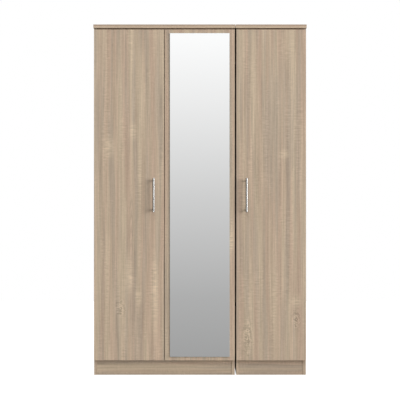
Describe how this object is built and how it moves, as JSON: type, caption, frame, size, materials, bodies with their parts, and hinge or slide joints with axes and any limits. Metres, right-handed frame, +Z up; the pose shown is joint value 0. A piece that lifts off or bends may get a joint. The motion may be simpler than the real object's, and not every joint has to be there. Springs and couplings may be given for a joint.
{
  "type": "wardrobe",
  "caption": "Free-standing wood-effect wardrobe of joined carcases with hinged doors, a full-height mirror, bar handles, hat shelves and hanging rails.",
  "frame": {"origin": "on the floor, under the middle of the whole object's box, handles included", "axes": "+Z up, -Y the way the doors face, +X to the right of someone who faces the doors"},
  "size_m": [1.11, 0.5594, 1.825],
  "materials": {
    "oak_board": "light oak effect foil with vertical grain, satin",
    "back_board": "thin printed fibre board, matt",
    "dowel_wood": "plain beech",
    "mirror": "silvered glass with polished edges",
    "brushed_steel": "brushed steel effect",
    "chrome": "polished",
    "nickel": "nickel plated",
    "zinc": "zinc plated",
    "clear_plastic": "soft clear plastic",
    "grey_plastic": "moulded"
  },
  "bodies": {
    "cabinet": {"double_left_side": "oak_board", "double_right_side": "oak_board", "double_top": "oak_board", "double_base": "oak_board", "double_plinth": "oak_board", "double_front_rail": "oak_board", "double_rear_rail": "oak_board", "double_hat_shelf": "oak_board", "double_back_board": "back_board", "double_hanging_rail": "chrome", "single_left_side": "oak_board", "single_right_side": "oak_board", "single_top": "oak_board", "single_base": "oak_board", "single_plinth": "oak_board", "single_front_rail": "oak_board", "single_rear_rail": "oak_board", "single_hat_shelf": "oak_board", "single_back_board": "back_board", "single_hanging_rail": "chrome", "rail_sockets": "chrome", "cam_locks": "zinc", "cam_bolts": "zinc", "back_board_nails": "zinc", "shelf_pins": "zinc", "rail_socket_screws": "zinc", "link_bolts": "zinc", "link_sleeves": "zinc", "hinge_plate_screws": "zinc", "hinge_arm_screws": "zinc", "wood_dowels": "dowel_wood", "door_bumpers": "clear_plastic", "link_spacers": "grey_plastic", "left_hinge_plates": "nickel", "left_hinge_arms": "nickel", "mirror_hinge_plates": "nickel", "mirror_hinge_arms": "nickel", "right_hinge_plates": "nickel", "right_hinge_arms": "nickel"},
    "left_door": {"left_hinge_cups": "nickel", "left_hinge_pins": "nickel", "left_cup_screws": "zinc", "left_door": "oak_board", "left_handle_bar": "brushed_steel", "left_handle_posts": "brushed_steel", "left_handle_screws": "zinc"},
    "mirror_door": {"mirror_hinge_cups": "nickel", "mirror_hinge_pins": "nickel", "mirror_cup_screws": "zinc", "mirror_door": "oak_board", "mirror_glass": "mirror"},
    "right_door": {"right_hinge_cups": "nickel", "right_hinge_pins": "nickel", "right_cup_screws": "zinc", "right_door": "oak_board", "right_handle_bar": "brushed_steel", "right_handle_posts": "brushed_steel", "right_handle_screws": "zinc"}
  },
  "joints": [
    {"name": "left_door_hinge", "type": "hinge", "parent": "cabinet", "child": "left_door", "pos_m": [-0.5455, -0.23875, 0.938], "axis": [0, 0, -1], "range_deg": [0, 95]},
    {"name": "mirror_door_hinge", "type": "hinge", "parent": "cabinet", "child": "mirror_door", "pos_m": [0.1745, -0.23875, 0.938], "axis": [0, 0, 1], "range_deg": [0, 95]},
    {"name": "right_door_hinge", "type": "hinge", "parent": "cabinet", "child": "right_door", "pos_m": [0.5455, -0.23875, 0.938], "axis": [0, 0, 1], "range_deg": [0, 95]}
  ]
}
